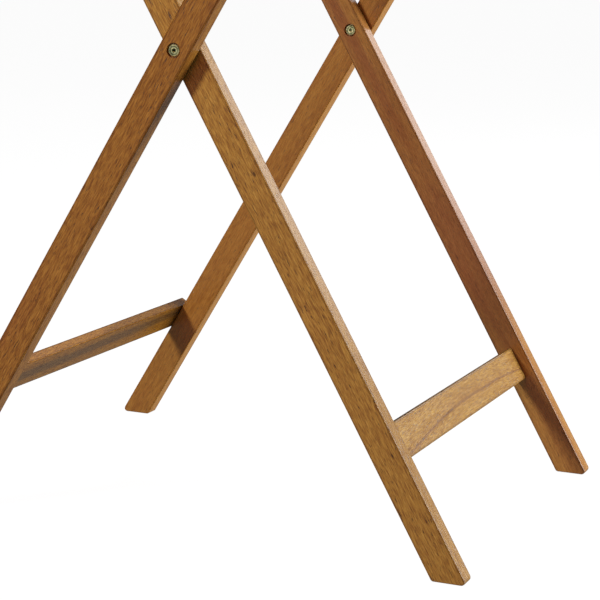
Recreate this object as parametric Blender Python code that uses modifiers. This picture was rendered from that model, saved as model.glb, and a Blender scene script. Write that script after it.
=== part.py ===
"""A folding tray table: a lift-off slatted tray on a crossed-leg stand that folds flat.

Metres, +Z up. X runs along the tray and across the spread of the legs, and Y along the
stretchers. The origin is on the floor under the middle of the tray. "Near" is the -Y side.

The outer frame's legs lean towards +X at the top and the inner frame's towards -X. Each frame
is drawn in its own leaning space: x across the leg, y along the stretchers and z up the leg,
with the pivot axis at its origin.
"""

import math

import bmesh
import bpy
from mathutils import Matrix, Vector

# Driving dimensions of the stand.
LEG_WIDTH = 0.024
LEG_THICK = 0.015
LEG_ANGLE = math.radians(30.2)
STAND_WIDTH = 0.380
STAND_HEIGHT = 0.675
PIVOT_HEIGHT = 0.375
CROSSING_GAP = 0.0016
CLEARANCE = 0.0003
OVERCUT = 0.001
MERGE_DISTANCE = 0.00001

# Cross pieces of the stand: a low stretcher and a top rail for each frame. All but the inner
# stretcher run across the legs' edges, out of the way of the legs as the stand folds.
STRIP_THICK = 0.009
EDGE_STRIP_WIDTH = 0.026
INNER_STRETCHER_WIDTH = 0.0295
INNER_STRETCHER_X = 0.002
STRETCHER_DROP = 0.327
RAIL_BELOW_TRAY = 0.0005

# Rounding of the wood.
CORNER_RADIUS = 0.003
CORNER_STEPS = 5
EASED_EDGE = 0.0011
EASED_STEPS = 2
SHARP_ANGLE = math.radians(35)

# Dowels.
DOWEL_RADIUS = 0.0025
DOWEL_SPACING = 0.010
RAIL_DOWEL_DROP = 0.003
DOWEL_IN_LEG = 0.009
DOWEL_IN_STRIP_END = 0.020
DOWEL_IN_STRIP_FACE = 0.006
BATTEN_DOWEL_RADIUS = 0.003
DOWEL_IN_SIDE = 0.007
DOWEL_IN_BATTEN = 0.018
DOWEL_SIDES = 10

# Pivot bolts and sleeve nuts.
HEAD_RADIUS = 0.0046
HEAD_THICK = 0.0022
HEAD_CHAMFER = 0.0006
HEAD_STEP_RADIUS = 0.0031
HEAD_STEP_DEPTH = 0.0003
COUNTERBORE_RADIUS = 0.0056
COUNTERBORE_DEPTH = 0.003
BOLT_RADIUS = 0.0025
BOLT_END_GAP = 0.002
SLEEVE_RADIUS = 0.0035
SLEEVE_BORE_RADIUS = 0.0028
SLEEVE_END_GAP = 0.002
SLEEVE_FLOOR = 0.003
SOCKET_ACROSS_FLATS = 0.003
SOCKET_DEPTH = 0.0019
HEX_SIDES = 6
PIVOT_BORE_RADIUS = 0.0038
WASHER_RADIUS = 0.008
ROUND_SIDES = 24

# Tray.
TRAY_LENGTH = 0.560
TRAY_WIDTH = 0.420
RIM_THICK = 0.012
RIM_HEIGHT = 0.048
END_RISE = 0.020
END_RISE_FLAT = 0.080
END_RISE_FOOT = 0.130
END_RISE_STEPS = 8
HAND_HOLD_LENGTH = 0.110
HAND_HOLD_HEIGHT = 0.026
HAND_HOLD_CENTRE = 0.044
HAND_HOLD_STEPS = 8
SLAT_COUNT = 7
SLAT_THICK = 0.009
SLAT_GAP = 0.004
BATTEN_WIDTH = 0.020
BATTEN_THICK = 0.012
BATTEN_ABOVE_RIM_FOOT = 0.002
BATTEN_INNER_X = 0.198
TONGUE_LENGTH = 0.005
TONGUE_THICK = 0.005

# Wood screws at the tray's corners.
SCREW_RADIUS = 0.0017
SCREW_HEAD_RADIUS = 0.0035
SCREW_HEAD_DEPTH = 0.0022
SCREW_LENGTH = 0.035
SCREW_HEIGHTS = (0.012, 0.036)
SCREW_SIDES = 12

# Values that follow from those above.
SLOPE_SIN = math.sin(LEG_ANGLE)
SLOPE_COS = math.cos(LEG_ANGLE)
OUTER_LEG_Y = STAND_WIDTH / 2 - LEG_THICK / 2
INNER_LEG_Y = OUTER_LEG_Y - LEG_THICK - CROSSING_GAP
EDGE_STRIP_X = LEG_WIDTH / 2 + CLEARANCE + STRIP_THICK / 2
SLAT_BOTTOM = STAND_HEIGHT + CLEARANCE
BATTEN_BOTTOM = SLAT_BOTTOM - CLEARANCE - BATTEN_THICK
RIM_BOTTOM = BATTEN_BOTTOM - BATTEN_ABOVE_RIM_FOOT
INSIDE_LENGTH = TRAY_LENGTH - 2 * RIM_THICK
INSIDE_WIDTH = TRAY_WIDTH - 2 * RIM_THICK
SLAT_WIDTH = (INSIDE_WIDTH - (SLAT_COUNT + 1) * SLAT_GAP) / SLAT_COUNT
BATTEN_XS = (-BATTEN_INNER_X - BATTEN_WIDTH / 2, 0.0, BATTEN_INNER_X + BATTEN_WIDTH / 2)

ALONG_X = Vector((1, 0, 0))
ALONG_Y = Vector((0, 1, 0))
SIDES = ((-1, "near"), (1, "far"))


def clear_scene():
    for obj in list(bpy.data.objects):
        bpy.data.objects.remove(obj, do_unlink=True)


def new_collection(name):
    collection = bpy.data.collections.new(name)
    bpy.context.scene.collection.children.link(collection)
    return collection


def new_material(name, colour, roughness, metallic=0.0):
    material = bpy.data.materials.new(name)
    material.use_nodes = True
    shader = material.node_tree.nodes["Principled BSDF"]
    shader.inputs["Base Color"].default_value = (*colour, 1.0)
    shader.inputs["Roughness"].default_value = roughness
    shader.inputs["Metallic"].default_value = metallic
    return material


def new_empty(name, location=(0, 0, 0), rotation=(0, 0, 0)):
    empty = bpy.data.objects.new(name, None)
    empty.location = location
    empty.rotation_euler = rotation
    PARTS.objects.link(empty)
    return empty


def place(name, mesh, material, parent, location=(0, 0, 0), rotation=(0, 0, 0)):
    """A visible piece of the table."""
    obj = bpy.data.objects.new(name, mesh)
    obj.data.materials.append(material)
    obj.parent = parent
    obj.location = location
    obj.rotation_euler = rotation
    PARTS.objects.link(obj)
    return obj


def mesh_from(bm, name):
    mesh = bpy.data.meshes.new(name)
    bm.to_mesh(mesh)
    bm.free()
    return mesh


def smooth_round(mesh):
    mesh.shade_smooth()
    mesh.set_sharp_from_angle(angle=SHARP_ANGLE)


def ease_edges(obj):
    bevel = obj.modifiers.new("eased edges", "BEVEL")
    bevel.width = EASED_EDGE
    bevel.segments = EASED_STEPS
    bevel.limit_method = "ANGLE"
    bevel.angle_limit = SHARP_ANGLE


def cut(target, cutter):
    boolean = target.modifiers.new(cutter.name, "BOOLEAN")
    boolean.operation = "DIFFERENCE"
    boolean.solver = "EXACT"
    boolean.object = cutter


def add_rod(bm, start, direction, length, radius, end_radius=None, sides=DOWEL_SIDES):
    """A closed cylinder, or a cone when end_radius differs, from start along direction."""
    turn = direction.to_track_quat("Z", "Y").to_matrix().to_4x4()
    middle = Matrix.Translation(start + direction * length / 2)
    bmesh.ops.create_cone(
        bm,
        cap_ends=True,
        segments=sides,
        radius1=radius,
        radius2=radius if end_radius is None else end_radius,
        depth=length,
        matrix=middle @ turn,
    )


def add_cutter(target, name, bm):
    cutter = bpy.data.objects.new(f"{target.name} {name}", mesh_from(bm, name))
    cutter.parent = target.parent
    cutter.hide_render = True
    cutter.display_type = "WIRE"
    CUTTERS.objects.link(cutter)
    cut(target, cutter)


def drill(target, name, holes, radius, depth, sides):
    """Cuts equal holes, each given as a point on the surface and the direction into the wood."""
    bm = bmesh.new()
    for point, inward in holes:
        add_rod(bm, point - inward * OVERCUT, inward, depth + OVERCUT, radius, sides=sides)
    add_cutter(target, name, bm)


def drill_dowel_holes(target, holes, dowel_radius, dowel_depth):
    drill(target, "dowel holes", holes, dowel_radius + CLEARANCE, dowel_depth + CLEARANCE, DOWEL_SIDES)


def countersink(target, screws):
    """Cuts the cones that the screws' heads sit in, a clearance larger all round."""
    wide = SCREW_HEAD_RADIUS + 2 * CLEARANCE
    narrow = SCREW_RADIUS + CLEARANCE
    depth = SCREW_HEAD_DEPTH + CLEARANCE
    wider = wide + (wide - narrow) * OVERCUT / depth
    bm = bmesh.new()
    for point, inward in screws:
        add_rod(bm, point - inward * OVERCUT, inward, depth + OVERCUT, wider, narrow, SCREW_SIDES)
    add_cutter(target, "countersinks", bm)


def rounded_outline(corners, radius):
    """The closed outline through the corners, each rounded by an arc of the radius."""
    points = []
    for index, corner in enumerate(corners):
        to_last = (corners[index - 1] - corner).normalized()
        to_next = (corners[(index + 1) % len(corners)] - corner).normalized()
        half_angle = to_last.angle(to_next) / 2
        centre = corner + (to_last + to_next).normalized() * radius / math.sin(half_angle)
        reach = radius / math.tan(half_angle)
        first = corner + to_last * reach - centre
        last = corner + to_next * reach - centre
        turn = first.angle_signed(last)
        for step in range(CORNER_STEPS + 1):
            angle = -turn * step / CORNER_STEPS
            points.append(centre + Matrix.Rotation(angle, 2) @ first)
    return points


def board_mesh(name, outlines, thickness):
    """A flat board in the XY plane, from a closed outline and any outlines of openings in it."""
    curve = bpy.data.curves.new(name, "CURVE")
    curve.dimensions = "2D"
    curve.fill_mode = "BOTH"
    curve.extrude = thickness / 2
    for outline in outlines:
        spline = curve.splines.new("POLY")
        spline.points.add(len(outline) - 1)
        for target, point in zip(spline.points, outline):
            target.co = (point[0], point[1], 0, 1)
        spline.use_cyclic_u = True
    guide = bpy.data.objects.new(name, curve)
    bpy.context.scene.collection.objects.link(guide)
    graph = bpy.context.evaluated_depsgraph_get()
    mesh = bpy.data.meshes.new_from_object(guide.evaluated_get(graph))
    bpy.data.objects.remove(guide)
    bm = bmesh.new()
    bm.from_mesh(mesh)
    bmesh.ops.remove_doubles(bm, verts=bm.verts, dist=MERGE_DISTANCE)
    bmesh.ops.dissolve_limit(bm, angle_limit=math.radians(1), verts=bm.verts, edges=bm.edges)
    bmesh.ops.recalc_face_normals(bm, faces=bm.faces)
    bm.to_mesh(mesh)
    bm.free()
    return mesh


def add_box(bm, size, middle=(0, 0, 0)):
    made = bmesh.ops.create_cube(bm, size=1)
    bmesh.ops.scale(bm, vec=size, verts=made["verts"])
    bmesh.ops.translate(bm, vec=middle, verts=made["verts"])


def box_mesh(name, size):
    bm = bmesh.new()
    add_box(bm, size)
    return mesh_from(bm, name)


def turned(name, profile, closed, material, parent, location, rotation, steps=ROUND_SIDES):
    """A piece turned about its own Z axis from (radius, height) points, top to bottom."""
    bm = bmesh.new()
    verts = [bm.verts.new((radius, 0, height)) for radius, height in profile]
    for first, second in zip(verts, verts[1:]):
        bm.edges.new((first, second))
    if closed:
        bm.edges.new((verts[-1], verts[0]))
    obj = place(name, mesh_from(bm, name), material, parent, location, rotation)
    screw = obj.modifiers.new("turn", "SCREW")
    screw.axis = "Z"
    screw.steps = steps
    screw.render_steps = steps
    screw.use_merge_vertices = True
    screw.merge_threshold = MERGE_DISTANCE
    screw.use_smooth_shade = True
    return obj


def height_on_leg(height, across, lean):
    """Leg-space z of the point at this height above the floor, this far across the leg."""
    return (height - PIVOT_HEIGHT + lean * across * SLOPE_SIN) / SLOPE_COS


def leg_corners(lean):
    half = LEG_WIDTH / 2
    left_foot = Vector((-half, height_on_leg(0, -half, lean)))
    right_foot = Vector((half, height_on_leg(0, half, lean)))
    right_top = Vector((half, height_on_leg(STAND_HEIGHT, half, lean)))
    left_top = Vector((-half, height_on_leg(STAND_HEIGHT, -half, lean)))
    return [left_foot, right_foot, right_top, left_top]


def make_leg(name, lean, leg_y, frame, joints, bolt_side):
    """One leg, drilled for its dowels and its pivot. bolt_side is the way the counterbore faces."""
    mesh = board_mesh(name, [rounded_outline(leg_corners(lean), CORNER_RADIUS)], LEG_THICK)
    leg = place(name, mesh, WOOD, frame, (0, leg_y, 0), (math.radians(90), 0, 0))
    ease_edges(leg)
    drill_dowel_holes(leg, joints, DOWEL_RADIUS, DOWEL_IN_LEG)
    face = Vector((0, leg_y + bolt_side * LEG_THICK / 2, 0))
    pivot = [(face, ALONG_Y * -bolt_side)]
    drill(leg, "pivot bore", pivot, PIVOT_BORE_RADIUS, LEG_THICK + OVERCUT, ROUND_SIDES)
    drill(leg, "counterbore", pivot, COUNTERBORE_RADIUS, COUNTERBORE_DEPTH, ROUND_SIDES)


def crosses_edges(strip_x):
    """Whether a strip is far enough out to run across the legs' edges, not between the legs."""
    return abs(strip_x) > LEG_WIDTH / 2


def strip_joints(strip_x, joint_z, leg_y, side):
    """Where a strip's two dowels enter the leg on one side, and their direction into it."""
    heights = (joint_z - DOWEL_SPACING / 2, joint_z + DOWEL_SPACING / 2)
    if crosses_edges(strip_x):
        out = math.copysign(1, strip_x)
        return [(Vector((out * LEG_WIDTH / 2, side * leg_y, z)), ALONG_X * -out) for z in heights]
    inner_face = side * (leg_y - LEG_THICK / 2)
    return [(Vector((strip_x, inner_face, z)), ALONG_Y * side) for z in heights]


def make_dowel(name, start, direction, length, radius, parent):
    bm = bmesh.new()
    add_rod(bm, Vector((0, 0, 0)), direction, length, radius)
    mesh = mesh_from(bm, name)
    smooth_round(mesh)
    return place(name, mesh, DOWEL_WOOD, parent, start)


def make_strip(name, width, strip_x, strip_z, joint_z, leg_y, frame):
    """A stretcher or a top rail, with two dowels joining it to each leg of its frame."""
    if crosses_edges(strip_x):
        half_length = leg_y + LEG_THICK / 2
        dowel_in_strip = DOWEL_IN_STRIP_FACE
    else:
        half_length = leg_y - LEG_THICK / 2 - CLEARANCE
        dowel_in_strip = DOWEL_IN_STRIP_END
    size = (STRIP_THICK, 2 * half_length, width)
    strip = place(name, box_mesh(name, size), WOOD, frame, (strip_x, 0, strip_z))
    ease_edges(strip)
    dowel_length = dowel_in_strip + DOWEL_IN_LEG
    holes = []
    for side, word in SIDES:
        for number, (point, inward) in enumerate(strip_joints(strip_x, joint_z, leg_y, side), 1):
            holes.append((point - inward * CLEARANCE, -inward))
            start = point - inward * dowel_in_strip
            make_dowel(f"{name}_dowel_{word}_{number}", start, inward, dowel_length, DOWEL_RADIUS, frame)
    drill_dowel_holes(strip, holes, DOWEL_RADIUS, dowel_in_strip)


def make_stand_frame(name, lean, leg_y, stretcher_width, stretcher_x, bolts_outside):
    """Two legs and a low stretcher, with a top rail across the edges on the side the legs lean to.

    The rail's dowels sit below its middle, to stay inside the legs' sloping tops.
    """
    frame = new_empty(f"{name}_frame", (0, 0, PIVOT_HEIGHT), (0, lean * LEG_ANGLE, 0))
    rail_x = lean * EDGE_STRIP_X
    rail_high_side = rail_x - lean * STRIP_THICK / 2
    rail_top = height_on_leg(STAND_HEIGHT, rail_high_side, lean) - RAIL_BELOW_TRAY
    rail_z = rail_top - EDGE_STRIP_WIDTH / 2
    strips = (
        ("stretcher", stretcher_width, stretcher_x, -STRETCHER_DROP, -STRETCHER_DROP),
        ("top_rail", EDGE_STRIP_WIDTH, rail_x, rail_z, rail_z - RAIL_DOWEL_DROP),
    )
    for side, word in SIDES:
        joints = []
        for _, _, x, _, joint_z in strips:
            joints += strip_joints(x, joint_z, leg_y, side)
        bolt_side = side if bolts_outside else -side
        make_leg(f"{name}_leg_{word}", lean, side * leg_y, frame, joints, bolt_side)
    for strip, width, x, z, joint_z in strips:
        make_strip(f"{name}_{strip}", width, x, z, joint_z, leg_y, frame)


def head_profile(top):
    """Half the section of a bolt's or nut's head, from its axis out and down its side."""
    return [
        (0, top - HEAD_STEP_DEPTH),
        (HEAD_STEP_RADIUS, top - HEAD_STEP_DEPTH),
        (HEAD_STEP_RADIUS + HEAD_STEP_DEPTH, top),
        (HEAD_RADIUS - HEAD_CHAMFER, top),
        (HEAD_RADIUS, top - HEAD_CHAMFER),
        (HEAD_RADIUS, top - HEAD_THICK),
    ]


def cut_socket(target, top_point, inward):
    corner_radius = SOCKET_ACROSS_FLATS / math.sqrt(3)
    drill(target, "hex socket", [(top_point, inward)], corner_radius, SOCKET_DEPTH, HEX_SIDES)


def make_pivot(word, side, pivots):
    """The bolt, sleeve nut and washer of one pivot. Heights run outwards from the stand's middle."""
    bolt_turn = (math.radians(-90 * side), 0, 0)
    nut_turn = (math.radians(90 * side), 0, 0)
    outer_face = OUTER_LEG_Y + LEG_THICK / 2
    inner_face = INNER_LEG_Y - LEG_THICK / 2
    bolt_seat = outer_face - COUNTERBORE_DEPTH + CLEARANCE
    nut_seat = inner_face + COUNTERBORE_DEPTH - CLEARANCE
    nut_bore_floor = nut_seat + SLEEVE_FLOOR
    bolt_end = nut_bore_floor + BOLT_END_GAP
    sleeve_end = bolt_seat - SLEEVE_END_GAP

    bolt_top = bolt_seat + HEAD_THICK
    shank = [(BOLT_RADIUS, bolt_seat), (BOLT_RADIUS, bolt_end), (0, bolt_end)]
    bolt_outline = head_profile(bolt_top) + shank
    bolt = turned(f"pivot_bolt_{word}", bolt_outline, False, ZINC, pivots, (0, 0, 0), bolt_turn)
    cut_socket(bolt, Vector((0, side * bolt_top, 0)), ALONG_Y * -side)

    sleeve = [
        (SLEEVE_RADIUS, 0),
        (SLEEVE_RADIUS, nut_seat - sleeve_end),
        (SLEEVE_BORE_RADIUS, nut_seat - sleeve_end),
        (SLEEVE_BORE_RADIUS, -SLEEVE_FLOOR),
        (0, -SLEEVE_FLOOR),
    ]
    nut_outline = head_profile(HEAD_THICK) + sleeve
    nut_place = (0, side * nut_seat, 0)
    nut = turned(f"pivot_nut_{word}", nut_outline, False, ZINC, pivots, nut_place, nut_turn)
    cut_socket(nut, Vector((0, side * (nut_seat - HEAD_THICK), 0)), ALONG_Y * side)

    bottom = INNER_LEG_Y + LEG_THICK / 2 + CLEARANCE
    top = OUTER_LEG_Y - LEG_THICK / 2 - CLEARANCE
    outside = [(WASHER_RADIUS, top), (WASHER_RADIUS, bottom)]
    inside = [(PIVOT_BORE_RADIUS, bottom), (PIVOT_BORE_RADIUS, top)]
    ring = outside + inside
    turned(f"pivot_washer_{word}", ring, True, NYLON, pivots, (0, 0, 0), bolt_turn)


def make_screw(name, head_point, inward, parent):
    """A countersunk wood screw with a plain point, turned about its own axis from its head."""
    tip = SCREW_LENGTH - 2 * CLEARANCE
    outline = [
        (0, 0),
        (SCREW_HEAD_RADIUS, 0),
        (SCREW_RADIUS, -SCREW_HEAD_DEPTH),
        (SCREW_RADIUS, SCREW_RADIUS - tip),
        (0, -tip),
    ]
    turn = (-inward).to_track_quat("Z", "Y").to_euler()
    where = head_point + inward * CLEARANCE
    return turned(name, outline, False, ZINC, parent, where, turn, SCREW_SIDES)


def end_board_outline():
    """The end's outline: low at the corners, rising in an even curve to its hand-hold."""
    half = TRAY_WIDTH / 2
    points = [Vector((-half, 0)), Vector((half, 0)), Vector((half, RIM_HEIGHT))]
    rise = []
    for step in range(END_RISE_STEPS + 1):
        part = step / END_RISE_STEPS
        y = END_RISE_FOOT + (END_RISE_FLAT - END_RISE_FOOT) * part
        rise.append(Vector((y, RIM_HEIGHT + END_RISE * (1 - math.cos(math.pi * part)) / 2)))
    points += rise
    points += [Vector((-point.x, point.y)) for point in reversed(rise)]
    points.append(Vector((-half, RIM_HEIGHT)))
    return points


def hand_hold_outline():
    radius = HAND_HOLD_HEIGHT / 2
    straight = HAND_HOLD_LENGTH / 2 - radius
    points = []
    for side in (1, -1):
        for step in range(HAND_HOLD_STEPS + 1):
            angle = math.pi * step / HAND_HOLD_STEPS - side * math.pi / 2
            x = side * straight + radius * math.cos(angle)
            points.append(Vector((x, HAND_HOLD_CENTRE + radius * math.sin(angle))))
    return points


def batten_dowel_holes(side):
    middle = BATTEN_BOTTOM + BATTEN_THICK / 2
    return [(Vector((x, side * INSIDE_WIDTH / 2, middle)), ALONG_Y * side) for x in BATTEN_XS]


def corner_screws(x_side, y_side):
    y = y_side * (INSIDE_WIDTH + RIM_THICK) / 2
    points = [Vector((x_side * TRAY_LENGTH / 2, y, RIM_BOTTOM + height)) for height in SCREW_HEIGHTS]
    return [(point, ALONG_X * -x_side) for point in points]


def make_tray_side(y_side, word, tray):
    """A long side. It stands between the ends, and holds the battens' dowels."""
    name = f"tray_side_{word}"
    size = (INSIDE_LENGTH - 2 * CLEARANCE, RIM_THICK, RIM_HEIGHT)
    where = (0, y_side * (INSIDE_WIDTH + RIM_THICK) / 2, RIM_BOTTOM + RIM_HEIGHT / 2)
    side = place(name, box_mesh(name, size), WOOD, tray, where)
    ease_edges(side)
    drill_dowel_holes(side, batten_dowel_holes(y_side), BATTEN_DOWEL_RADIUS, DOWEL_IN_SIDE)
    screws = corner_screws(-1, y_side) + corner_screws(1, y_side)
    drill(side, "screw holes", screws, SCREW_RADIUS + CLEARANCE, SCREW_LENGTH, SCREW_SIDES)


def make_tray_end(x_side, word, tray):
    """An end with its hand-hold, grooved for the slats and screwed to the long sides."""
    name = f"tray_end_{word}"
    mesh = board_mesh(name, [end_board_outline(), hand_hold_outline()], RIM_THICK)
    where = (x_side * (INSIDE_LENGTH + RIM_THICK) / 2, 0, RIM_BOTTOM)
    end = place(name, mesh, WOOD, tray, where, (math.radians(90), 0, math.radians(90)))
    ease_edges(end)
    groove = bmesh.new()
    groove_size = (2 * (TONGUE_LENGTH + CLEARANCE), INSIDE_WIDTH, TONGUE_THICK + 2 * CLEARANCE)
    add_box(groove, groove_size, (x_side * INSIDE_LENGTH / 2, 0, SLAT_BOTTOM + TONGUE_THICK / 2))
    add_cutter(end, "tongue groove", groove)
    screws = corner_screws(x_side, -1) + corner_screws(x_side, 1)
    countersink(end, screws)
    drill(end, "screw holes", screws, SCREW_RADIUS + CLEARANCE, RIM_THICK + OVERCUT, SCREW_SIDES)
    for number, (point, inward) in enumerate(screws, 1):
        make_screw(f"corner_screw_{word}_{number}", point, inward, tray)


def make_tray_slat(index, tray):
    """A floor slat. A thin tongue at the foot of each end holds it, so its top stops clear of the ends."""
    name = f"tray_slat_{index + 1}"
    length = INSIDE_LENGTH + 2 * TONGUE_LENGTH
    y = (index - (SLAT_COUNT - 1) / 2) * (SLAT_WIDTH + SLAT_GAP)
    where = (0, y, SLAT_BOTTOM + SLAT_THICK / 2)
    slat = place(name, box_mesh(name, (length, SLAT_WIDTH, SLAT_THICK)), WOOD, tray, where)
    ease_edges(slat)
    rebates = bmesh.new()
    size = (2 * (TONGUE_LENGTH + CLEARANCE), 2 * SLAT_WIDTH, 2 * (SLAT_THICK - TONGUE_THICK))
    for side in (-1, 1):
        add_box(rebates, size, (side * length / 2, y, SLAT_BOTTOM + SLAT_THICK))
    add_cutter(slat, "rebates", rebates)


def make_tray_batten(x, word, tray):
    """A batten under the slats, dowelled to both long sides."""
    name = f"tray_batten_{word}"
    length = INSIDE_WIDTH - 2 * CLEARANCE
    where = Vector((x, 0, BATTEN_BOTTOM + BATTEN_THICK / 2))
    batten = place(name, box_mesh(name, (BATTEN_WIDTH, length, BATTEN_THICK)), WOOD, tray, where)
    ease_edges(batten)
    ends = [(where + ALONG_Y * side * length / 2, ALONG_Y * -side) for side, _ in SIDES]
    drill_dowel_holes(batten, ends, BATTEN_DOWEL_RADIUS, DOWEL_IN_BATTEN)
    for side, end_word in SIDES:
        start = where + ALONG_Y * side * (INSIDE_WIDTH / 2 - DOWEL_IN_BATTEN)
        dowel_length = DOWEL_IN_BATTEN + DOWEL_IN_SIDE
        dowel_name = f"{name}_dowel_{end_word}"
        make_dowel(dowel_name, start, ALONG_Y * side, dowel_length, BATTEN_DOWEL_RADIUS, tray)


def make_tray():
    tray = new_empty("tray")
    for side, word in SIDES:
        make_tray_side(side, word, tray)
    for side, word in ((-1, "left"), (1, "right")):
        make_tray_end(side, word, tray)
    for index in range(SLAT_COUNT):
        make_tray_slat(index, tray)
    for x, word in zip(BATTEN_XS, ("left", "middle", "right")):
        make_tray_batten(x, word, tray)


clear_scene()
PARTS = new_collection("folding_tray_table")
CUTTERS = new_collection("cutters")
WOOD = new_material("oiled hardwood", (0.27, 0.115, 0.035), 0.5)
DOWEL_WOOD = new_material("dowel wood", (0.60, 0.42, 0.24), 0.7)
ZINC = new_material("yellow zinc-plated steel", (0.55, 0.52, 0.34), 0.35, 1.0)
NYLON = new_material("nylon", (0.75, 0.73, 0.68), 0.5)

make_stand_frame("outer", 1, OUTER_LEG_Y, EDGE_STRIP_WIDTH, -EDGE_STRIP_X, bolts_outside=True)
make_stand_frame("inner", -1, INNER_LEG_Y, INNER_STRETCHER_WIDTH, -INNER_STRETCHER_X, bolts_outside=False)
PIVOTS = new_empty("pivots", (0, 0, PIVOT_HEIGHT))
make_pivot("near", -1, PIVOTS)
make_pivot("far", 1, PIVOTS)
make_tray()
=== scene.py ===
"""The looks of the folding tray table: oiled hardwood, yellow-zinc pivots and a white studio."""

import math
import random

import bmesh
import bpy
from mathutils import Matrix, Quaternion, Vector


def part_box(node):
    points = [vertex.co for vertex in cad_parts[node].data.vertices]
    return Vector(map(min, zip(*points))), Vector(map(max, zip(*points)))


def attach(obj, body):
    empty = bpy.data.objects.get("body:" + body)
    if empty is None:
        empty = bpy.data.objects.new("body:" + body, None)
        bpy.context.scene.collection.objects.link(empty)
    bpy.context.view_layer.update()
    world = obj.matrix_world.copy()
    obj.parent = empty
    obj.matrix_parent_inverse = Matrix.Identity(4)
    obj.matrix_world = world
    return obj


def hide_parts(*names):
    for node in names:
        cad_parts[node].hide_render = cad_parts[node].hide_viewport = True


MM = 0.001

# The camera: where it stands, the point it looks at, its roll and its lens on a 36 mm sensor.
CAMERA_PLACE = Vector((0.6486, -1.4969, 0.4711))
CAMERA_TARGET = Vector((0.0306, -0.0155, 0.1654))
CAMERA_ROLL = math.radians(1.30)
CAMERA_LENS = 120.4

# Lights: the direction to each from the object, its distance, its size, its strength, which is the
# light that a white card facing it sends back, and its colour.
LIGHT_TARGET = Vector((0.0, 0.0, 0.25))
WHITE = (1.0, 1.0, 1.0)
LIGHTS = {
    "key": (Vector((-0.381, -0.786, 0.487)), 3.0, (0.42, 0.42), 0.76, WHITE),
    "back panel": (Vector((0.273, 0.922, 0.276)), 3.0, (0.84, 0.90), 0.080, WHITE),
    "side panel": (Vector((0.853, 0.492, 0.174)), 3.0, (2.30, 2.00), 1.85, WHITE),
    "overhead": (Vector((-0.060, 0.846, 0.530)), 3.0, (1.60, 0.80), 0.030, WHITE),
    "warm fill": (Vector((0.0, -0.94, 0.34)), 2.5, (1.20, 1.20), 0.18, (1.0, 0.35, 0.30)),
}
WORLD_STRENGTH = 0.05
FLOOR_SIZE = 60.0
FLOOR_COLOUR = (0.10, 0.10, 0.10)
FLOOR_WHITE = 0.96
FLOOR_BOUNCE = 0.17

# The stand's legs lean this far from upright.
LEG_ANGLE = math.radians(30.2)
PIVOT_HEIGHT = 0.375
ALONG_X = Vector((1, 0, 0))
ALONG_Y = Vector((0, 1, 0))
ALONG_Z = Vector((0, 0, 1))
UP_OUTER_LEG = Vector((math.sin(LEG_ANGLE), 0, math.cos(LEG_ANGLE)))
UP_INNER_LEG = Vector((-math.sin(LEG_ANGLE), 0, math.cos(LEG_ANGLE)))

# The wood's main colours, and the dark colour of its pores and knots, which also paints the shade line
# beside the long edges.
BROWN = (0.262, 0.110, 0.016)
AMBER = (0.335, 0.168, 0.029)
RUSSET = (0.300, 0.122, 0.028)
ORANGE = (0.340, 0.145, 0.025)
TAN = (0.385, 0.205, 0.045)
CHESTNUT = (0.255, 0.108, 0.013)
PORE_KNOT_AND_EDGE_SHADE = (0.045, 0.016, 0.005)

# A wood's tones about its main colour, from the darkest and reddest to the lightest and yellowest.
TONE_STEPS = (
    (0.0, (0.52, 0.42, 0.40)),
    (0.28, (0.78, 0.70, 0.70)),
    (0.52, (1.0, 1.0, 1.0)),
    (0.76, (1.20, 1.28, 1.35)),
    (1.0, (1.42, 1.62, 2.0)),
)

# Tints that multiply the wood's colour in streaks, bands and faces.
REDDISH = (0.78, 0.62, 0.70)
GREYISH = (0.56, 0.64, 1.30)
DARK_LINE = (0.68, 0.62, 0.85)
# Painted shade over the lower part of the far inner leg.
PAINTED_SHADE_BAND = (0.92, 0.86, 0.95)
PALE_STREAK = (1.25, 1.40, 1.20)
PALE_FOOT = (1.45, 1.75, 1.50)
PALE_NARROW_FACE = (1.30, 1.40, 1.45)
# Painted light: a top face made lighter, as lit from above.
PAINTED_LIGHT_TOP_FACE = (1.35, 1.35, 1.50)
END_GRAIN = (0.70, 0.60, 0.55)

# The figure in the wood: features per metre with the grain, and across it both ways.
BANDS = (5.0, 95.0, 95.0)
STREAKS = (14.0, 420.0, 420.0)
FIBRES = (130.0, 1500.0, 1500.0)
FLECKS = (60.0, 170.0, 170.0)
HEARTWOOD = (3.2, 60.0, 60.0)
PORES = (170.0, 1250.0, 1250.0)
SWAYS = (4.0, 14.0, 14.0)

# How much each part of the figure shows, and how far the tone swings from its middle.
BAND_SHARE = 0.30
STREAK_SHARE = 0.22
FIBRE_SHARE = 1.2
FLECK_SHARE = 0.12
PORE_SHARE = 0.60
# The share of the painted shade line beside the long edges.
EDGE_SHADE_SHARE = 0.38
END_SHARE = 0.7
TONE_SWING = 0.30
SWAY_REACH = 12 * MM

# The oil's finish, and how softly marks on the wood begin and end across and along a piece.
WOOD_ROUGHNESS = 0.32
WOOD_SPECULAR = 0.42
EDGE_SPECULAR = 0.18
WOOD_RELIEF = 0.03 * MM
SOFT_ACROSS = 0.4 * MM
SOFT_ALONG = 0.03
KNOT_DEPTH = 0.8
KNOT_SQUASH = 0.55

# Yellow zinc plate: its cloudy tones, and the relief of its surface.
ZINC_TONES = (
    (0.3, (0.35, 0.40, 0.19)),
    (0.5, (0.52, 0.56, 0.29)),
    (0.7, (0.70, 0.70, 0.38)),
)
ZINC_RELIEF = 0.02 * MM

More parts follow.
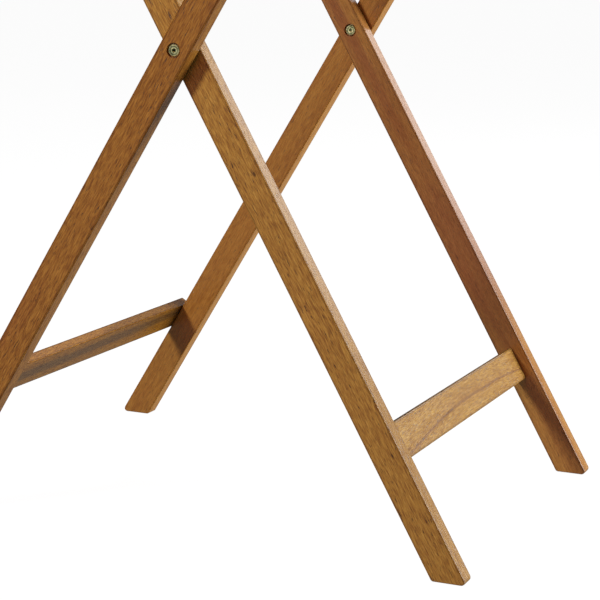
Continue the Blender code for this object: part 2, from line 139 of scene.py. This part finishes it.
# Painted light on a pivot's head at each distance from its axis: painted shade in the socket and the step,
# painted highlights on the socket's rim and the bevel.
PIVOT_PAINTED_LIGHT_RINGS = (
    (0.0, 0.02),
    (1.35 * MM, 0.02),
    (1.65 * MM, 1.90),
    (2.10 * MM, 1.60),
    (2.50 * MM, 0.80),
    (2.90 * MM, 0.35),
    (3.30 * MM, 1.00),
    (3.90 * MM, 1.20),
    (4.60 * MM, 2.20),
)
# A nut's socket is painted no darker than this: a painted reflection in it.
NUT_DARKEST_PAINTED_SHADE = 0.4
NUT_PAINTED_LIGHT_RINGS = tuple((radius, max(share, NUT_DARKEST_PAINTED_SHADE)) for radius, share in PIVOT_PAINTED_LIGHT_RINGS)

# Wood screws: their heads and shanks, the cross in a head, and the thread.
SCREW_SIDES = 20
SCREW_HEAD_RADIUS = 3.5 * MM
SCREW_RADIUS = 1.7 * MM
SCREW_ROOT = 1.2 * MM
PAN_HEIGHT = 1.8 * MM
PAN_ANGLES = range(30, 91, 12)
FLAT_RIM = 0.15 * MM
COUNTERSINK = 2.2 * MM
CROSS_REACH = 1.6 * MM
CROSS_HALF_WIDTH = 0.45 * MM
CROSS_DEPTH = 1.3 * MM
CROSS_TAPER = 0.45
THREAD_PITCH = 1.6 * MM
ROWS_PER_TURN = 5
RIDGE_STEEPNESS = 4.0
PLAIN_SHARE = 0.35
POINT_LENGTH = 4.0 * MM
SLAT_LEFT_OVER_SCREW = 2.0 * MM
SHARP_ANGLE = math.radians(35)
SCREW_SEED = 7


class Nodes:
    """A material's node tree. Each call adds a node and returns its output socket."""

    def __init__(self, name):
        self.material = bpy.data.materials.new(name)
        self.material.use_nodes = True
        self.tree = self.material.node_tree
        self.shader = self.tree.nodes["Principled BSDF"]

    def feed(self, socket, value):
        if isinstance(value, bpy.types.NodeSocket):
            self.tree.links.new(value, socket)
        elif hasattr(value, "__len__") and len(value) == 3 and socket.type == "RGBA":
            socket.default_value = (*value, 1.0)
        else:
            socket.default_value = value

    def add(self, kind, settings=None, **inputs):
        node = self.tree.nodes.new(kind)
        for key, value in (settings or {}).items():
            setattr(node, key, value)
        for key, value in inputs.items():
            self.feed(node.inputs[key.replace("_", " ")], value)
        return node.outputs[0]

    def set(self, **inputs):
        for key, value in inputs.items():
            self.feed(self.shader.inputs[key.replace("_", " ")], value)

    def math(self, operation, first, second=0.0, clamp=False):
        node = self.tree.nodes.new("ShaderNodeMath")
        node.operation = operation
        node.use_clamp = clamp
        self.feed(node.inputs[0], first)
        self.feed(node.inputs[1], second)
        return node.outputs[0]

    def vector(self, operation, first, second=(0, 0, 0)):
        node = self.tree.nodes.new("ShaderNodeVectorMath")
        node.operation = operation
        self.feed(node.inputs[0], first)
        self.feed(node.inputs[1], second)
        return node.outputs["Value" if operation in ("LENGTH", "DOT_PRODUCT") else "Vector"]

    def split(self, vector):
        node = self.tree.nodes.new("ShaderNodeSeparateXYZ")
        self.feed(node.inputs[0], vector)
        return list(node.outputs)

    def join(self, x, y, z):
        node = self.tree.nodes.new("ShaderNodeCombineXYZ")
        for socket, value in zip(node.inputs, (x, y, z)):
            self.feed(socket, value)
        return node.outputs[0]

    def blend_of(self, *layers, base=0.0):
        """The base plus each layer's swing about its middle, times its weight."""
        total = base
        for layer, weight in layers:
            swing = self.math("MULTIPLY", self.math("SUBTRACT", layer, 0.5), weight)
            total = self.math("ADD", swing, total)
        return total

    def noise(self, place, stretch, detail=2.0, roughness=0.5, seed=0.0):
        """Noise with features of about 1/stretch metres along each of the three axes."""
        settings = {"noise_dimensions": "4D", "normalize": True}
        spread = self.vector("MULTIPLY", place, stretch)
        inputs = {"Vector": spread, "W": seed, "Scale": 1.0, "Detail": detail, "Roughness": roughness}
        return self.add("ShaderNodeTexNoise", settings=settings, **inputs)

    def rescale(self, value, low, high, new_low=0.0, new_high=1.0, linear=False):
        """A step from new_low at low to new_high at high, smooth unless it is linear."""
        node = self.tree.nodes.new("ShaderNodeMapRange")
        node.interpolation_type = "LINEAR" if linear else "SMOOTHSTEP"
        for index, number in enumerate((value, low, high, new_low, new_high)):
            self.feed(node.inputs[index], number)
        return node.outputs[0]

    def mix(self, factor, first, second, blend="MIX"):
        node = self.tree.nodes.new("ShaderNodeMix")
        node.data_type = "RGBA"
        node.blend_type = blend
        self.feed(node.inputs["Factor"], factor)
        self.feed(node.inputs[6], first)
        self.feed(node.inputs[7], second)
        return node.outputs[2]

    def ramp(self, factor, stops):
        node = self.tree.nodes.new("ShaderNodeValToRGB")
        elements = node.color_ramp.elements
        while len(elements) < len(stops):
            elements.new(1.0)
        for element, (position, colour) in zip(elements, stops):
            element.position = position
            element.color = (*colour, 1.0)
        self.feed(node.inputs[0], factor)
        return node.outputs[0]

    def bump(self, height, distance):
        return self.add("ShaderNodeBump", Height=height, Distance=distance, Strength=1.0)


def half_sizes(obj, axes):
    """Half of a CAD node's size along each axis, and its middle, in the row frame."""
    spans = []
    for axis in axes:
        reach = [axis.dot(vertex.co) for vertex in obj.data.vertices]
        spans.append((min(reach), max(reach)))
    middle = sum((axis * (low + high) / 2 for axis, (low, high) in zip(axes, spans)), Vector())
    return [(high - low) / 2 for low, high in spans], middle


def piece_space(nodes, obj, along, across, start):
    """Metres from the piece's start: x with the grain, y across it and z through the piece."""
    axes = [along, across, along.cross(across)]
    half, middle = half_sizes(obj, axes)
    if start is not None:
        middle = start + axes[2] * axes[2].dot(middle - start)
    turn = Matrix(axes)
    coordinates = nodes.tree.nodes.new("ShaderNodeTexCoord")
    mapping = nodes.tree.nodes.new("ShaderNodeMapping")
    mapping.inputs["Location"].default_value = -(turn @ middle)
    mapping.inputs["Rotation"].default_value = turn.to_euler()
    nodes.tree.links.new(coordinates.outputs["Object"], mapping.inputs["Vector"])
    facing = nodes.vector("DOT_PRODUCT", coordinates.outputs["Normal"], along)
    return nodes.split(mapping.outputs[0]), nodes.math("ABSOLUTE", facing), half


def near_edges(nodes, place, half):
    """Distance from the nearest long edge, on the four faces that run along the grain."""
    across = nodes.math("SUBTRACT", half[1], nodes.math("ABSOLUTE", place[1]))
    through = nodes.math("SUBTRACT", half[2], nodes.math("ABSOLUTE", place[2]))
    return nodes.math("MAXIMUM", across, through)


def painted_edge_shade(nodes, from_edge):
    """How strongly a painted shade line shows beside the long edges, as on eased edges that turn away from
    the light.
    """
    return nodes.math(
        "MULTIPLY",
        nodes.rescale(from_edge, 0.3 * MM, 0.8 * MM),
        nodes.rescale(from_edge, 1.2 * MM, 2.0 * MM, 1.0, 0.0),
    )


def grain_space(nodes, place, seed, drift, arch, crown):
    """The piece's own coordinates, bent so that the grain drifts, sways and arches a little."""
    x, y, z = place
    from_crown = nodes.math("SUBTRACT", x, crown)
    rise = nodes.math("MULTIPLY", nodes.math("MULTIPLY", from_crown, from_crown), arch)
    lean = nodes.math("MULTIPLY", x, math.tan(math.radians(drift)))
    sway = nodes.noise(nodes.join(x, y, z), SWAYS, seed=seed)
    sway = nodes.math("MULTIPLY", nodes.math("SUBTRACT", sway, 0.5), SWAY_REACH)
    shift = nodes.math("ADD", nodes.math("ADD", rise, lean), sway)
    return nodes.join(x, nodes.math("ADD", y, shift), nodes.math("ADD", z, sway))


def tones_of(colour):
    """The stops of a ramp through the tones of a wood of this main colour."""
    return [(at, tuple(part * share for part, share in zip(colour, tint))) for at, tint in TONE_STEPS]


def oiled_wood(obj, along, across, seed, look):
    """Fine-pored hardwood under a satin oil, with the grain running along the piece."""
    nodes = Nodes(f"oiled wood {obj.name}")
    place, end_facing, half = piece_space(nodes, obj, along, across, look.get("start"))
    bends = (look.get("drift", 1.0), look.get("arch", 0.0), look.get("crown", 0.0))
    grain = grain_space(nodes, place, seed, *bends)

    fine = look.get("fine", 1.0)
    figure = look.get("figure", 1.0)
    bands = nodes.noise(grain, BANDS, 2, 0.5, seed + 1)
    streaks = nodes.noise(grain, STREAKS, 3, 0.6, seed + 2)
    fibres = nodes.noise(grain, FIBRES, 2, 0.6, seed + 3)
    flecks = nodes.noise(grain, FLECKS, 2, 0.6, seed + 4)
    tone = nodes.blend_of(
        (bands, BAND_SHARE * figure),
        (streaks, STREAK_SHARE * figure),
        (fibres, FIBRE_SHARE * fine),
        (flecks, FLECK_SHARE),
    )
    lightness = nodes.rescale(tone, -TONE_SWING, TONE_SWING, linear=True)
    colour = nodes.ramp(lightness, tones_of(look["colour"]))

    heart = nodes.noise(grain, HEARTWOOD, 2, 0.5, seed + 5)
    heart = nodes.math("MULTIPLY", nodes.rescale(heart, 0.50, 0.66), look.get("heart", 0.5))
    colour = nodes.mix(heart, colour, REDDISH, "MULTIPLY")
    for mark in look.get("marks", ()):
        colour = mark(nodes, place, grain, colour)

    pores = nodes.noise(grain, PORES, 1, 0.5, seed + 6)
    thick = nodes.rescale(flecks, 0.40, 0.62)
    pores = nodes.math("MULTIPLY", nodes.rescale(pores, 0.60, 0.70), nodes.math("ADD", 0.35, thick))
    colour = nodes.mix(nodes.math("MULTIPLY", pores, PORE_SHARE * fine, clamp=True), colour, PORE_KNOT_AND_EDGE_SHADE)

    # Painted shade: a dark line beside every long edge, as where eased edges turn away from the light.
    from_edge = near_edges(nodes, place, half)
    line = nodes.math("MULTIPLY", painted_edge_shade(nodes, from_edge), look.get("edge", EDGE_SHADE_SHARE))
    colour = nodes.mix(line, colour, PORE_KNOT_AND_EDGE_SHADE)
    ends = nodes.rescale(end_facing, 0.6, 0.9)
    colour = nodes.mix(nodes.math("MULTIPLY", ends, END_SHARE), colour, END_GRAIN, "MULTIPLY")

    roughness = nodes.blend_of((streaks, 0.10), (flecks, 0.05), (pores, 0.10), base=WOOD_ROUGHNESS)
    relief = nodes.blend_of((fibres, 1.0), (streaks, 0.6), (pores, -0.8))
    specular = nodes.rescale(from_edge, 0.8 * MM, 1.4 * MM, EDGE_SPECULAR, WOOD_SPECULAR)
    nodes.set(Base_Color=colour, Roughness=roughness, Specular_IOR_Level=specular)
    nodes.set(Normal=nodes.bump(relief, WOOD_RELIEF))
    return nodes.material


# Each of the marks below returns a function that takes a wood's nodes, the place on the piece, the
# place in the bent grain and the colour so far, and returns the new colour.


def knot(at_x, at_y, radius):
    """A small dark knot on the faces across the piece."""
    def mark(nodes, place, grain, colour):
        dx = nodes.math("MULTIPLY", nodes.math("SUBTRACT", place[0], at_x), KNOT_SQUASH)
        dy = nodes.math("SUBTRACT", place[1], at_y)
        reach = nodes.vector("LENGTH", nodes.join(dx, dy, 0.0))
        spot = nodes.rescale(reach, 0.35 * radius, radius, KNOT_DEPTH, 0.0)
        return nodes.mix(spot, colour, PORE_KNOT_AND_EDGE_SHADE)
    return mark


def streak_and_painted_light_band(low, high, soft, tint, strength=1.0, begin=None, end=None):
    """A streak of heartwood that follows the grain between two distances across the piece. It also paints
    light on the outer stretcher's top face.
    """
    def mark(nodes, place, grain, colour):
        y = nodes.split(grain)[1]
        band = nodes.math(
            "MULTIPLY",
            nodes.rescale(y, low - soft, low + soft),
            nodes.rescale(y, high - soft, high + soft, 1.0, 0.0),
        )
        for limit, shares in ((begin, (0.0, 1.0)), (end, (1.0, 0.0))):
            if limit is not None:
                inside = nodes.rescale(place[0], limit - SOFT_ALONG, limit + SOFT_ALONG, *shares)
                band = nodes.math("MULTIPLY", band, inside)
        return nodes.mix(nodes.math("MULTIPLY", band, strength), colour, tint, "MULTIPLY")
    return mark


def tone_beyond(distance, tint):
    """A different tone on the narrow face at this distance across the piece."""
    def mark(nodes, place, grain, colour):
        amount = nodes.rescale(place[1], distance - SOFT_ACROSS, distance + SOFT_ACROSS)
        return nodes.mix(amount, colour, tint, "MULTIPLY")
    return mark


def tone_and_painted_shade_along(begin, end, tint):
    """A slow change of tone along the piece, from none at begin to the full tint at end. It carries both the
    wood's own tone and painted shade.
    """
    def mark(nodes, place, grain, colour):
        shares = (0.0, 1.0) if end > begin else (1.0, 0.0)
        amount = nodes.rescale(place[0], min(begin, end), max(begin, end), *shares)
        return nodes.mix(amount, colour, tint, "MULTIPLY")
    return mark


def zinc(name, rings=()):
    """Yellow-passivated zinc plate, brassy with a green cast. Rings paint shade and highlights on a pivot's
    head, outwards from its axis.
    """
    nodes = Nodes(name)
    place = nodes.tree.nodes.new("ShaderNodeTexCoord").outputs["Object"]
    cloud = nodes.noise(place, (500, 500, 500), 3, 0.6, 1)
    colour = nodes.ramp(cloud, ZINC_TONES)
    # Painted shade and painted highlights on a pivot's head, ring by ring from its axis.
    if rings:
        x, _, z = nodes.split(place)
        reach = nodes.vector("LENGTH", nodes.join(x, 0.0, nodes.math("SUBTRACT", z, PIVOT_HEIGHT)))
        rim = rings[-1][0]
        stops = [(radius / rim, (share, share, share)) for radius, share in rings]
        shade = nodes.ramp(nodes.math("DIVIDE", reach, rim), stops)
        colour = nodes.mix(1.0, colour, shade, "MULTIPLY")
    fine = nodes.noise(place, (2500, 2500, 2500), 2, 0.6, 2)
    nodes.set(Base_Color=colour, Metallic=1.0)
    nodes.set(Roughness=nodes.rescale(cloud, 0.3, 0.7, 0.24, 0.40))
    nodes.set(Normal=nodes.bump(fine, ZINC_RELIEF))
    return nodes.material


def plain(name, colour, roughness):
    """A slightly mottled material for small hidden parts."""
    nodes = Nodes(name)
    place = nodes.tree.nodes.new("ShaderNodeTexCoord").outputs["Object"]
    cloud = nodes.noise(place, (300, 300, 300), 3, 0.6, 3)
    darker = tuple(0.8 * part for part in colour)
    nodes.set(Base_Color=nodes.mix(cloud, darker, colour), Roughness=roughness)
    return nodes.material


def wear(obj, material):
    obj.data.materials.clear()
    obj.data.materials.append(material)


def stand_looks():
    """For each wooden piece of the stand: the ways along and across its grain, and its look."""
    pivot = Vector((0, 0, PIVOT_HEIGHT))
    outer_across = ALONG_Y.cross(UP_OUTER_LEG)
    inner_across = ALONG_Y.cross(UP_INNER_LEG)
    return {
        "outer_leg_near": (UP_OUTER_LEG, outer_across, {
            "colour": BROWN, "start": pivot, "heart": 0.75, "fine": 1.3,
        }),
        # The far outer leg gets little of the painted edge shade.
        "outer_leg_far": (UP_OUTER_LEG, outer_across, {
            "colour": ORANGE, "start": pivot, "heart": 0.4, "fine": 0.75, "edge": 0.1,
            "marks": (tone_beyond(11.6 * MM, PALE_NARROW_FACE),),
        }),
        "inner_leg_near": (UP_INNER_LEG, inner_across, {
            "colour": AMBER, "start": pivot, "heart": 0.35, "figure": 0.7, "fine": 1.2,
            "marks": (knot(-105 * MM, 6.2 * MM, 1.6 * MM),),
        }),
        "inner_leg_far": (UP_INNER_LEG, inner_across, {
            "colour": RUSSET, "start": pivot, "heart": 0.5, "figure": 0.7, "fine": 0.75,
            "marks": (
                streak_and_painted_light_band(-7 * MM, 2 * MM, 3 * MM, REDDISH, 0.7, -0.12, 0.06),
                streak_and_painted_light_band(4 * MM, 12 * MM, 3 * MM, PALE_STREAK, 0.9, -0.03, 0.12),
                tone_and_painted_shade_along(-0.24, -0.33, PALE_FOOT),
                # Painted shade: the leg darker from 0.13-0.18 m below the pivot down to its foot, where
                # shadows fall on it.
                tone_and_painted_shade_along(-0.13, -0.18, PAINTED_SHADE_BAND),
            ),
        }),
        "outer_stretcher": (ALONG_Y, UP_OUTER_LEG, {
            "colour": CHESTNUT, "heart": 0.2, "drift": -1.8, "fine": 1.2,
            "marks": (
                streak_and_painted_light_band(-4 * MM, 6 * MM, 2.5 * MM, GREYISH),
                # Painted light: the top face lighter, as lit from above.
                streak_and_painted_light_band(12.5 * MM, 1.0, SOFT_ACROSS, PAINTED_LIGHT_TOP_FACE),
            ),
        }),
        "inner_stretcher": (ALONG_Y, UP_INNER_LEG, {
            "colour": TAN, "heart": 0.2, "figure": 0.8, "fine": 1.2,
            "arch": 0.39, "crown": 20 * MM, "drift": 0.0,
            "marks": (streak_and_painted_light_band(-1.3 * MM, 0.4 * MM, 0.5 * MM, DARK_LINE),),
        }),
        "outer_top_rail": (ALONG_Y, UP_OUTER_LEG, {"colour": RUSSET}),
        "inner_top_rail": (ALONG_Y, UP_INNER_LEG, {"colour": AMBER}),
    }


def tray_looks():
    looks = {
        "tray_side_near": (ALONG_X, ALONG_Z, {"colour": RUSSET}),
        "tray_side_far": (ALONG_X, ALONG_Z, {"colour": AMBER}),
        "tray_end_left": (ALONG_Y, ALONG_Z, {"colour": ORANGE}),
        "tray_end_right": (ALONG_Y, ALONG_Z, {"colour": AMBER}),
        "tray_batten_left": (ALONG_Y, ALONG_X, {"colour": BROWN}),
        "tray_batten_middle": (ALONG_Y, ALONG_X, {"colour": CHESTNUT}),
        "tray_batten_right": (ALONG_Y, ALONG_X, {"colour": RUSSET}),
    }
    slat_colours = (RUSSET, AMBER, BROWN, TAN, ORANGE, AMBER, CHESTNUT)
    arches = (0.25, -0.12, 0.30, 0.08, -0.28, 0.15, -0.20)
    for number, (colour, arch) in enumerate(zip(slat_colours, arches), 1):
        looks[f"tray_slat_{number}"] = (ALONG_X, ALONG_Y, {"colour": colour, "arch": arch, "heart": 0.6})
    return looks


def finish_wood(parts):
    """Gives every wooden CAD piece its own length of wood."""
    looks = {**stand_looks(), **tray_looks()}
    for seed, (name, (along, across, look)) in enumerate(looks.items()):
        wear(parts[name], oiled_wood(parts[name], along, across, 10.0 * seed, look))


def finish_small_parts(parts):
    metal = zinc("yellow zinc plate")
    materials = {
        "pivot_bolt": zinc("yellow zinc bolt", PIVOT_PAINTED_LIGHT_RINGS),
        "pivot_nut": zinc("yellow zinc nut", NUT_PAINTED_LIGHT_RINGS),
        "washer": plain("nylon", (0.70, 0.68, 0.62), 0.5),
        "dowel": plain("dowel wood", (0.45, 0.30, 0.16), 0.7),
        "corner_screw": metal,
    }
    for name, obj in parts.items():
        for word, material in materials.items():
            if word in name:
                wear(obj, material)
    chance = random.Random(SCREW_SEED)
    add_slat_screws(parts, metal, chance)
    replace_corner_screws(parts, metal, chance)


def pan_head():
    """A domed head that stands on the wood, from the flat round its cross out to its foot."""
    angles = [math.radians(angle) for angle in PAN_ANGLES]
    dome = [(SCREW_HEAD_RADIUS * math.sin(angle), -PAN_HEIGHT * math.cos(angle)) for angle in angles]
    return dome + [(SCREW_RADIUS, 0.0)]


def flat_head():
    """A countersunk head, flush with the wood."""
    face_edge = (SCREW_HEAD_RADIUS - FLAT_RIM, 0.0)
    return [face_edge, (SCREW_HEAD_RADIUS, FLAT_RIM), (SCREW_RADIUS, COUNTERSINK)]


def ring(bm, radius_at, height):
    """A ring of vertices about the screw's axis, each at its own turn's radius."""
    corners = []
    for side in range(SCREW_SIDES):
        turn = math.tau * side / SCREW_SIDES
        radius = radius_at(turn)
        corners.append(bm.verts.new((radius * math.cos(turn), radius * math.sin(turn), height)))
    return corners


def loop_edges(bm, loop):
    pairs = list(zip(loop, loop[1:] + loop[:1]))
    return [bm.edges.get(pair) or bm.edges.new(pair) for pair in pairs]


def bridge(bm, first, second):
    for index, corner in enumerate(first):
        before = index - 1
        bm.faces.new((first[before], corner, second[index], second[before]))


def cross_loop(bm, size, height):
    """The cross's outline, an arm at a time."""
    corners = []
    for quarter in range(4):
        turn = Matrix.Rotation(quarter * math.pi / 2, 2)
        arm = ((CROSS_REACH, -CROSS_HALF_WIDTH), (CROSS_REACH, CROSS_HALF_WIDTH))
        for point in arm + ((CROSS_HALF_WIDTH, CROSS_HALF_WIDTH),):
            x, y = turn @ Vector(point) * size
            corners.append(bm.verts.new((x, y, height)))
    return corners


def thread_radius(height, length, turn):
    """The shank's radius at one turn: a ridge that climbs one pitch each way round, and a point."""
    phase = (height / THREAD_PITCH - turn / math.tau) % 1.0
    ridge = max(0.0, 1.0 - RIDGE_STEEPNESS * abs(phase - 0.5))
    radius = SCREW_ROOT + (SCREW_RADIUS - SCREW_ROOT) * ridge
    return radius * min(1.0, (length - height) / POINT_LENGTH)


def screw_mesh(name, head, length):
    """A wood screw that points along +Z, with the face of its head at the first point's height."""
    bm = bmesh.new()
    rings = [ring(bm, lambda _, radius=radius: radius, height) for radius, height in head]
    top = head[0][1]
    cross = cross_loop(bm, 1.0, top)
    floor = cross_loop(bm, CROSS_TAPER, top + CROSS_DEPTH)
    bmesh.ops.triangle_fill(bm, use_beauty=True, edges=loop_edges(bm, cross) + loop_edges(bm, rings[0]))
    bridge(bm, cross, floor)
    middle = bm.verts.new((0.0, 0.0, top + CROSS_DEPTH))
    for index, corner in enumerate(floor):
        bm.faces.new((floor[index - 1], corner, middle))

    thread_from = PLAIN_SHARE * length
    rings.append(ring(bm, lambda _: SCREW_RADIUS, thread_from))
    rows = round((length - thread_from) / THREAD_PITCH * ROWS_PER_TURN)
    for row in range(1, rows):
        height = thread_from + (length - thread_from) * row / rows
        rings.append(ring(bm, lambda turn, height=height: thread_radius(height, length, turn), height))
    for first, second in zip(rings, rings[1:]):
        bridge(bm, first, second)
    tip = bm.verts.new((0.0, 0.0, length))
    for index, corner in enumerate(rings[-1]):
        bm.faces.new((rings[-1][index - 1], corner, tip))

    bmesh.ops.recalc_face_normals(bm, faces=bm.faces)
    for face in bm.faces:
        face.smooth = True
    for edge in bm.edges:
        edge.smooth = edge.calc_face_angle(0.0) < SHARP_ANGLE
    mesh = bpy.data.meshes.new(name)
    bm.to_mesh(mesh)
    bm.free()
    return mesh


def add_screw(name, mesh, material, head_point, inward, turn):
    """One screw of the tray, turned about its own axis as it happened to stop."""
    screw = bpy.data.objects.new(name, mesh.copy())
    bpy.context.scene.collection.objects.link(screw)
    aim = inward.to_track_quat("Z", "Y") @ Quaternion((0, 0, 1), turn)
    screw.matrix_world = Matrix.LocRotScale(head_point, aim, None)
    wear(screw, material)
    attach(screw, "tray")
    return screw


def add_slat_screws(parts, material, chance):
    """A screw up through each batten into each slat."""
    slats = sorted(name for name in parts if name.startswith("tray_slat"))
    slat_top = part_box(slats[0])[1].z
    for batten in ("left", "middle", "right"):
        low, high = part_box(f"tray_batten_{batten}")
        mesh = screw_mesh(f"slat screw {batten}", pan_head(), slat_top - SLAT_LEFT_OVER_SCREW - low.z)
        for number, slat in enumerate(slats, 1):
            slat_low, slat_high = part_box(slat)
            foot = Vector(((low.x + high.x) / 2, (slat_low.y + slat_high.y) / 2, low.z))
            turn = chance.uniform(0, math.pi)
            add_screw(f"slat_screw_{batten}_{number}", mesh, material, foot, ALONG_Z, turn)


def replace_corner_screws(parts, material, chance):
    """The corners' screws, with the crosses and threads that the plain CAD ones don't have."""
    for name in sorted(name for name in parts if name.startswith("corner_screw")):
        low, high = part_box(name)
        inward = ALONG_X if low.x < 0 else -ALONG_X
        face = low.x if low.x < 0 else high.x
        head_point = Vector((face, (low.y + high.y) / 2, (low.z + high.z) / 2))
        mesh = screw_mesh(name, flat_head(), high.x - low.x)
        screw = add_screw(f"{name}_threaded", mesh, material, head_point, inward, chance.uniform(0, math.pi))
        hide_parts(name)


def add_light(name, direction, distance, size, strength, colour):
    data = bpy.data.lights.new(name, "AREA")
    data.shape = "RECTANGLE"
    data.size, data.size_y = size
    data.energy = strength * (math.pi * distance) ** 2
    data.color = colour
    lamp = bpy.data.objects.new(name, data)
    lamp.location = LIGHT_TARGET + direction.normalized() * distance
    lamp.rotation_euler = (-direction).to_track_quat("-Z", "Y").to_euler()
    lamp.visible_camera = False
    bpy.context.scene.collection.objects.link(lamp)


def white_to_camera(tree, strength_socket, to_camera, as_light):
    """Lets the studio show white in the picture without flooding the object with light."""
    rays = tree.nodes.new("ShaderNodeLightPath")
    strength = tree.nodes.new("ShaderNodeMapRange")
    strength.inputs["To Min"].default_value = as_light
    strength.inputs["To Max"].default_value = to_camera
    tree.links.new(rays.outputs["Is Camera Ray"], strength.inputs["Value"])
    tree.links.new(strength.outputs[0], strength_socket)


def add_world():
    world = bpy.data.worlds.new("white studio")
    world.use_nodes = True
    background = world.node_tree.nodes["Background"]
    background.inputs["Color"].default_value = (1, 1, 1, 1)
    white_to_camera(world.node_tree, background.inputs["Strength"], 1.0, WORLD_STRENGTH)
    bpy.context.scene.world = world


def add_floor():
    bm = bmesh.new()
    bmesh.ops.create_grid(bm, x_segments=1, y_segments=1, size=FLOOR_SIZE / 2)
    mesh = bpy.data.meshes.new("floor")
    bm.to_mesh(mesh)
    bm.free()
    floor = bpy.data.objects.new("floor", mesh)
    bpy.context.scene.collection.objects.link(floor)
    nodes = Nodes("white floor")
    nodes.set(Base_Color=FLOOR_COLOUR, Roughness=1.0, Specular_IOR_Level=0.0)
    nodes.set(Emission_Color=(1, 1, 1))
    white_to_camera(nodes.tree, nodes.shader.inputs["Emission Strength"], FLOOR_WHITE, FLOOR_BOUNCE)
    mesh.materials.append(nodes.material)


def add_camera():
    data = bpy.data.cameras.new("camera")
    data.lens = CAMERA_LENS
    camera = bpy.data.objects.new("camera", data)
    aim = (CAMERA_TARGET - CAMERA_PLACE).to_track_quat("-Z", "Y")
    camera.location = CAMERA_PLACE
    camera.rotation_euler = (aim @ Quaternion((0, 0, 1), CAMERA_ROLL)).to_euler()
    bpy.context.scene.collection.objects.link(camera)
    bpy.context.scene.camera = camera


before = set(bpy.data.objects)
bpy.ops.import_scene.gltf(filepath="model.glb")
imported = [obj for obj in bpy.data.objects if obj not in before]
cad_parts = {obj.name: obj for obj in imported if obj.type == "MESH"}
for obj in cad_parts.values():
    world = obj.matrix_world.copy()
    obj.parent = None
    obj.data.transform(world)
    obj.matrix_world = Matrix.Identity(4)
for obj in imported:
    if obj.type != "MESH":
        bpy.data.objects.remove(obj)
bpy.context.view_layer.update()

finish_wood(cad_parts)
finish_small_parts(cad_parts)
add_world()
add_floor()
for name, light in LIGHTS.items():
    add_light(name, *light)
add_camera()
bpy.context.scene.view_settings.view_transform = "Standard"
